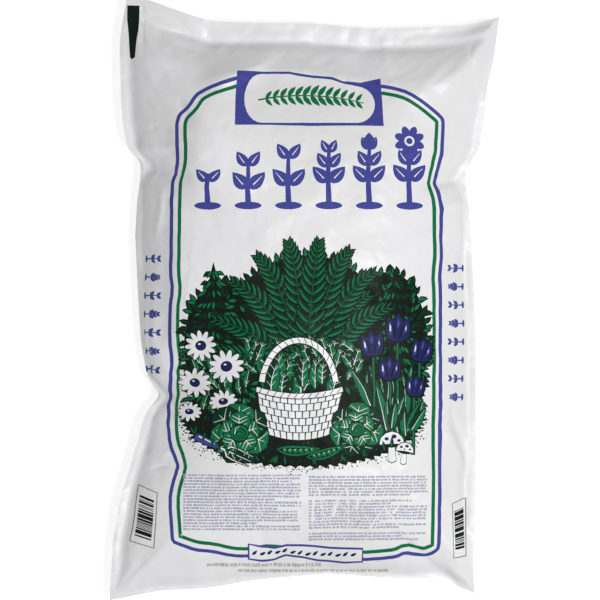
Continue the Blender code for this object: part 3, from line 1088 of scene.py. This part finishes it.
# rows of bars in millimetres: left, right, top, rows, rows left out, pitch, ink
barBlocks = [
    (-131, -3.5, -192, 19, (), 3.25, "lilac"),
    (4.5, 133, -193.5, 22, (7, 18), 3.25, "lilac"),
]
barLines = [(-106, 44, -290.5, 1, (), 6.0, "stone"), (-72, 92, -297, 1, (), 4.6, "stone")]
paintedGlare = [  # painted glare: white strokes of bare film over the small print along its crackles, standing in for highlights, in the photograph's pixels
    ((313, 520), (311, 498), (318, 484)), ((318, 486), (322, 504), (325, 522)),
    ((333, 515), (336, 498), (344, 488)), ((346, 486), (350, 500), (347, 528)),
    ((356, 508), (358, 494), (362, 486)), ((366, 500), (372, 492), (378, 484)),
    ((368, 530), (376, 514), (386, 504)), ((384, 506), (394, 520), (412, 538)),
    ((300, 522), (297, 506), (299, 494)), ((392, 512), (398, 508), (400, 500)),
]


def barRows(rng):
    for block in barBlocks:
        wordBars(*block, rng)
    # white strokes of painted glare over the bars
    for line in paintedGlare:
        put("film", stroke(bow(*inPlan(line), 4), rng.uniform(2.0, 4.2), 0.6))


# in the photograph's pixels, from the top left corner
labels = [
    [(138, 484), (159, 492), (155, 548), (129, 541)],
    [(452, 503), (466.5, 497), (466.5, 556), (453, 558)],
]
cornerMark = [(127, 5), (139.5, 5), (139, 22), (137, 38), (135.5, 57), (132, 59.5), (130, 57), (128.5, 34),
              (127, 20)]


def printedFace():
    rng = random.Random(11)
    borderLines()
    plaque()
    seedlingRow()
    barRows(rng)
    gardenPicture(rng)
    smallPlaque()
    for line in barLines:
        wordBars(*line, rng)
    sideSeedlings()
    for corners in labels:
        stripedLabel(corners, rng)
    put("black", inPlan(cornerMark))


printedFace()
print("print drawn,", len(printed), "shapes")


# in millimetres
mergeDistance = 0.02
longestLine = 4.0


def cut(points, edges):  # triangles over all the points, that keep the edges
    made = delaunay_2d_cdt([Vector(p) for p in points], edges, [], 0, mergeDistance, True)
    return np.array([tuple(p) for p in made[0]]), np.array(made[2]), made[3]


def topInks(spots):  # the ink of the last shape that covers each spot
    order = np.argsort(spots[:, 0], kind="stable")
    x, y = spots[order].T
    found = np.zeros(len(spots), int)
    for ink, shape in printed:
        corners = np.array(shape)
        low, high = corners.min(0), corners.max(0)
        first, last = np.searchsorted(x, (low[0], high[0]))
        near = first + np.flatnonzero((y[first:last] > low[1]) & (y[first:last] < high[1]))
        nearX, nearY = x[near], y[near]
        turns = np.zeros(len(near), int)
        for (startX, startY), (endX, endY) in zip(shape, shape[1:] + shape[:1]):
            if startY != endY:
                passes = (startY > nearY) != (endY > nearY)
                crossing = startX + (endX - startX) * (nearY - startY) / (endY - startY)
                turns += (passes & (nearX < crossing)) * (1 if endY > startY else -1)
        found[near[turns != 0]] = ink
    found[order] = found.copy()
    return found


def inkEdges():  # the lines where two inks meet
    points, edges = box(-400, -400, 400, 400), []  # bare film all round
    for ink, shape in printed:
        first = len(points)
        points.extend(shape)
        edges.extend((first + k, first + (k + 1) % len(shape)) for k in range(len(shape)))
    places, triangles, _ = cut(points, edges)
    tops = topInks(places[triangles].mean(1))
    sides = np.sort(np.concatenate([triangles[:, ends] for ends in ([0, 1], [1, 2], [2, 0])]), axis=1)
    owners = np.tile(tops, 3)
    order = np.lexsort((sides[:, 1], sides[:, 0]))
    sides, owners = sides[order], owners[order]
    shared = (sides[1:] == sides[:-1]).all(1) & (owners[1:] != owners[:-1])
    return places, sides[:-1][shared]


def inShortSteps(places, edges, longest):  # long lines follow the film's curve
    points, steps = list(map(tuple, places)), []
    for first, last in edges:
        a, b = np.array(points[first]), np.array(points[last])
        pieces = max(1, math.ceil(np.linalg.norm(b - a) / longest))
        previous = int(first)
        for k in range(1, pieces):
            points.append(tuple(a + (b - a) * k / pieces))
            steps.append((previous, len(points) - 1))
            previous = len(points) - 1
        steps.append((previous, int(last)))
    used = sorted({point for step in steps for point in step})
    renumbered = {point: k for k, point in enumerate(used)}
    return np.array([points[point] for point in used]), [(renumbered[a], renumbered[b]) for a, b in steps]


def rimPoints(spacing):
    half = halfFilm * 1000
    x, y = (np.linspace(-side, side, round(2 * side / spacing) + 1)[:-1] for side in half)
    return np.r_[np.c_[x, x * 0 - half[1]], np.c_[y * 0 + half[0], y], np.c_[-x, x * 0 + half[1]],
                 np.c_[y * 0 - half[0], -y]]


def gridPoints(spacing):  # rows half a step apart, so that the triangles are even
    half = halfFilm * 1000 - spacing * 0.6
    found = []
    for k, y in enumerate(np.arange(-half[1], half[1], spacing * 0.87)):
        x = np.arange(-half[0] + (spacing / 2 if k % 2 else 0), half[0], spacing)
        found.append(np.c_[x, x * 0 + y])
    return np.concatenate(found)


def cutSheet(spacing, extra=None, edges=()):  # one face of the flat film, as triangles in millimetres
    rim = rimPoints(film["fineGrid"] * 1000)
    corners = np.array([(x, y) for x in (-1, 1) for y in (-1, 1)])  # so that no corner is one triangle
    corners = corners * (halfFilm - film["fineGrid"] * 0.35) * 1000
    extra = corners if extra is None else np.concatenate([extra, corners])
    shifted = [(a + len(rim), b + len(rim)) for a, b in edges]
    points = np.concatenate([rim, extra, gridPoints(spacing * 1000)])
    shifted += [(k, (k + 1) % len(rim)) for k in range(len(rim))]
    places, triangles, sources = cut(points, shifted)
    rimNumbers = np.zeros(len(rim), int)
    for number, given in enumerate(sources):
        for source in given:
            if source < len(rim):
                rimNumbers[source] = number
    a, b, c = (places[triangles[:, k]] for k in range(3))
    area = (b[:, 0] - a[:, 0]) * (c[:, 1] - a[:, 1]) - (b[:, 1] - a[:, 1]) * (c[:, 0] - a[:, 0])
    triangles[area < 0] = triangles[area < 0][:, ::-1]
    return places, triangles, rimNumbers


def bagMesh():
    places, edges = inShortSteps(*inkEdges(), longestLine)
    print("print cut,", len(edges), "lines between inks")
    front, frontFaces, frontRim = cutSheet(film["fineGrid"], onFilm(places / 1000) * 1000, edges)
    back, backFaces, backRim = cutSheet(film["backGrid"])
    painted = topInks(readNet(calmNet, front[frontFaces].mean(1) / 1000)[:, :2] * 1000)
    fresh = np.ones(len(back), bool)
    fresh[backRim] = False
    numbers = len(front) + np.cumsum(fresh) - 1
    numbers[backRim] = frontRim
    backFaces = backFaces[:, ::-1]
    spots = np.concatenate([front, back[fresh]]) / 1000
    isFront = np.arange(len(spots)) < len(front)
    point, normal = np.zeros((len(spots), 3)), np.zeros((len(spots), 3))
    for side, mask, sign in (("front", isFront, 1), ("back", ~isFront, -1)):
        point[mask] = filmPlace(spots[mask], side)
        normal[mask] = sign * crossOf(lambda there: filmPlace(there, side), spots[mask])
    faces = np.concatenate([frontFaces, numbers[backFaces]])
    mesh = bpy.data.meshes.new("filledBag")
    mesh.from_pydata(point.tolist(), [], faces.tolist())
    mesh.polygons.foreach_set("material_index", np.r_[painted, np.zeros(len(backFaces), int)])
    mesh.shade_smooth()
    layBakeMap(mesh, np.concatenate([front[frontFaces].reshape(-1, 2), back[backFaces].reshape(-1, 2)]),
               len(frontFaces) * 3)
    mesh.normals_split_custom_set_from_vertices(normal.tolist())
    mesh.validate()
    return mesh


def layBakeMap(mesh, corners, frontCorners):  # the face fills most of the map, the back lies beside it
    size = halfFilm * 2000
    margin, faceScale, backScale = 0.01, 0.98 / size[1], 0.36 / size[0]
    places = (corners + size / 2) * faceScale + margin
    places[frontCorners:] = (corners[frontCorners:] + size / 2) * backScale
    places[frontCorners:] += (margin * 2 + size[0] * faceScale, margin)
    layer = mesh.uv_layers.new(name="OFBake")
    layer.data.foreach_set("uv", places.ravel())


# finishes: linear colours, and how glossy each ink dries
finishes = {
    "film": {"colour": (0.82, 0.82, 0.84), "shade": (0.76, 0.76, 0.765), "gloss": (0.32, 0.46)},
    "green": {"colour": (0.008, 0.180, 0.070), "shade": (0.006, 0.13, 0.050), "gloss": (0.34, 0.46)},
    "deepGreen": {"colour": (0.003, 0.040, 0.018), "shade": (0.002, 0.028, 0.013), "gloss": (0.34, 0.46)},
    "blue": {"colour": (0.066, 0.074, 0.32), "shade": (0.054, 0.060, 0.27), "gloss": (0.34, 0.46)},
    "navy": {"colour": (0.018, 0.022, 0.11), "shade": (0.014, 0.017, 0.08), "gloss": (0.34, 0.46)},
    "black": {"colour": (0.004, 0.008, 0.006), "shade": (0.007, 0.013, 0.009), "gloss": (0.36, 0.48)},
    "lilac": {"colour": (0.36, 0.35, 0.46), "shade": (0.46, 0.45, 0.54), "gloss": (0.34, 0.46)},
    "grey": {"colour": (0.20, 0.19, 0.18), "shade": (0.30, 0.29, 0.28), "gloss": (0.34, 0.46)},
    "stone": {"colour": (0.42, 0.41, 0.38), "shade": (0.54, 0.53, 0.50), "gloss": (0.34, 0.46)},
}
specular = {"film": 0.4, "ink": 0.05}  # the inks dry matter than the film
texture = {
    "tone": 7.0,  # how many changes of shade in a metre
    "mottle": 420.0,  # grain of the print
    "bend": (12.0, 0.04),  # how often and how far the creases wander
    "creases": ((24.0, 0.30, 0.0011, 0.30), (85.0, 0.16, 0.00022, 0.25)),  # a metre, width, depth, strength
}


def addNode(tree, kind, *values, **given):  # settings and sockets by name, or sockets in turn
    node = tree.nodes.new(kind)
    sockets = dict(enumerate(values))
    for name, value in given.items():
        if hasattr(node, name):
            setattr(node, name, value)
        else:
            sockets[name.replace("_", " ")] = value
    setSockets(tree, node, sockets)
    return node


def setSockets(tree, node, sockets):
    for name, value in sockets.items():
        if isinstance(value, bpy.types.NodeSocket):
            tree.links.new(value, node.inputs[name])
        else:
            node.inputs[name].default_value = value


def mapRange(tree, value, *limits):
    return addNode(tree, "ShaderNodeMapRange", value, *limits).outputs["Result"]


def newMaterial(name):
    material = bpy.data.materials.new(name)
    material.use_nodes = True
    return material, material.node_tree, material.node_tree.nodes["Principled BSDF"]


def crinkledNormal(tree, place):  # creases between flatter facets, coarse and fine
    scale, reach = texture["bend"]
    bent = addNode(tree, "ShaderNodeTexNoise", Vector=place, Scale=scale, Detail=2.0).outputs["Color"]
    spot = addNode(tree, "ShaderNodeVectorMath", bent, (reach,) * 3, place, operation="MULTIPLY_ADD")
    normal = {}
    for cells, wide, depth, strength in texture["creases"]:
        crease = addNode(tree, "ShaderNodeTexVoronoi", feature="DISTANCE_TO_EDGE",
                         Vector=spot.outputs["Vector"], Scale=cells)
        height = mapRange(tree, crease.outputs["Distance"], 0.0, wide, 0.0, 1.0)
        bump = addNode(tree, "ShaderNodeBump", Height=height, Distance=depth, Strength=strength, **normal)
        normal = {"Normal": bump.outputs["Normal"]}
    return normal


def filmFinish(name):
    finish, isFilm = finishes[name], name == "film"
    material, tree, shader = newMaterial("whiteFilm" if isFilm else name + "Film")
    place = addNode(tree, "ShaderNodeTexCoord").outputs["Object"]
    tone, grain = (addNode(tree, "ShaderNodeTexNoise", Vector=place, Scale=texture[scale], Detail=detail)
                   for scale, detail in (("tone", 3.0), ("mottle", 2.0)))
    share = mapRange(tree, (tone if isFilm else grain).outputs["Fac"], 0.35, 0.65, 0.0, 1.0)
    colour = addNode(tree, "ShaderNodeMix", data_type="RGBA")
    setSockets(tree, colour, {"Factor": share, 6: (*finish["colour"], 1), 7: (*finish["shade"], 1)})
    setSockets(tree, shader, {
        "Base Color": colour.outputs[2],
        "Roughness": mapRange(tree, tone.outputs["Fac"], 0.3, 0.7, *finish["gloss"]),
        "Specular IOR Level": specular["film" if isFilm else "ink"],
        **crinkledNormal(tree, place),
    })
    return material


filledBag = addObject("filledBag", bagMesh())
for ink in inks:
    filledBag.data.materials.append(filmFinish(ink))
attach(filledBag, "root")
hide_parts("soil_bag")
print("bag made,", len(filledBag.data.polygons), "triangles")


# the set: a pale floor, soft lamps and a long lens straight above
studio = {
    "floorDrop": 0.0006,
    "floorSize": 6.0,
    "floorColour": (0.86, 0.86, 0.86, 1),
    "floorRoughness": 0.9,
    "floorGlow": 0.68,  # only as the camera sees it
    "skyLight": 0.30,
    "lamps": [{"name": "softboxRight", "place": (0.86, -0.38, 2.6), "size": 0.9, "power": 52.0}],
    "lampAim": (0, 0, 0.05),
    "cameraHeight": 6.0,
    "sensor": 36.0,
    "focusHeight": 0.04,  # the level at which a pixel has its size
}


def seenRays(tree):  # 1 for camera, glossy and transmission rays
    path = tree.nodes.new("ShaderNodeLightPath").outputs
    seen = path["Is Camera Ray"]
    for other in ("Is Glossy Ray", "Is Transmission Ray"):
        seen = addNode(tree, "ShaderNodeMath", seen, path[other], operation="MAXIMUM").outputs[0]
    return seen


def makeFloor():
    floor = addSquare("floor", studio["floorSize"] / 2, -studio["floorDrop"])
    material, tree, shader = newMaterial("paleFloor")
    glow = addNode(tree, "ShaderNodeMath", seenRays(tree), studio["floorGlow"], operation="MULTIPLY")
    setSockets(tree, shader, {"Base Color": studio["floorColour"], "Roughness": studio["floorRoughness"],
                              "Emission Color": (1, 1, 1, 1), "Emission Strength": glow.outputs[0]})
    floor.data.materials.append(material)


def makeSky():
    world = bpy.data.worlds.new("studioSky")
    world.use_nodes = True
    tree = world.node_tree
    strength = mapRange(tree, seenRays(tree), 0.0, 1.0, studio["skyLight"], 1.0)
    setSockets(tree, tree.nodes["Background"], {"Color": (1, 1, 1, 1), "Strength": strength})
    bpy.context.scene.world = world


def makeLamps():
    aim = Vector(studio["lampAim"])
    for given in studio["lamps"]:
        lamp = bpy.data.lights.new(given["name"], "AREA")
        setAll(lamp, shape="DISK", size=given["size"], energy=given["power"])
        holder = addObject(given["name"], lamp)
        holder.location = given["place"]
        holder.rotation_euler = (aim - holder.location).to_track_quat("-Z", "Y").to_euler()


def makeCamera():
    lens = bpy.data.cameras.new("camera")
    distance = studio["cameraHeight"] - studio["focusHeight"]
    seen = photo["size"] * photo["metresPerPixel"]
    setAll(lens, sensor_width=studio["sensor"], lens=studio["sensor"] * distance / seen)
    camera = addObject("camera", lens)
    camera.location = (*fromPhoto((photo["size"] / 2, photo["size"] / 2)), studio["cameraHeight"])
    bpy.context.scene.camera = camera


makeFloor()
makeSky()
makeLamps()
makeCamera()
bpy.context.scene.view_settings.view_transform = "Standard"
print("set ready")
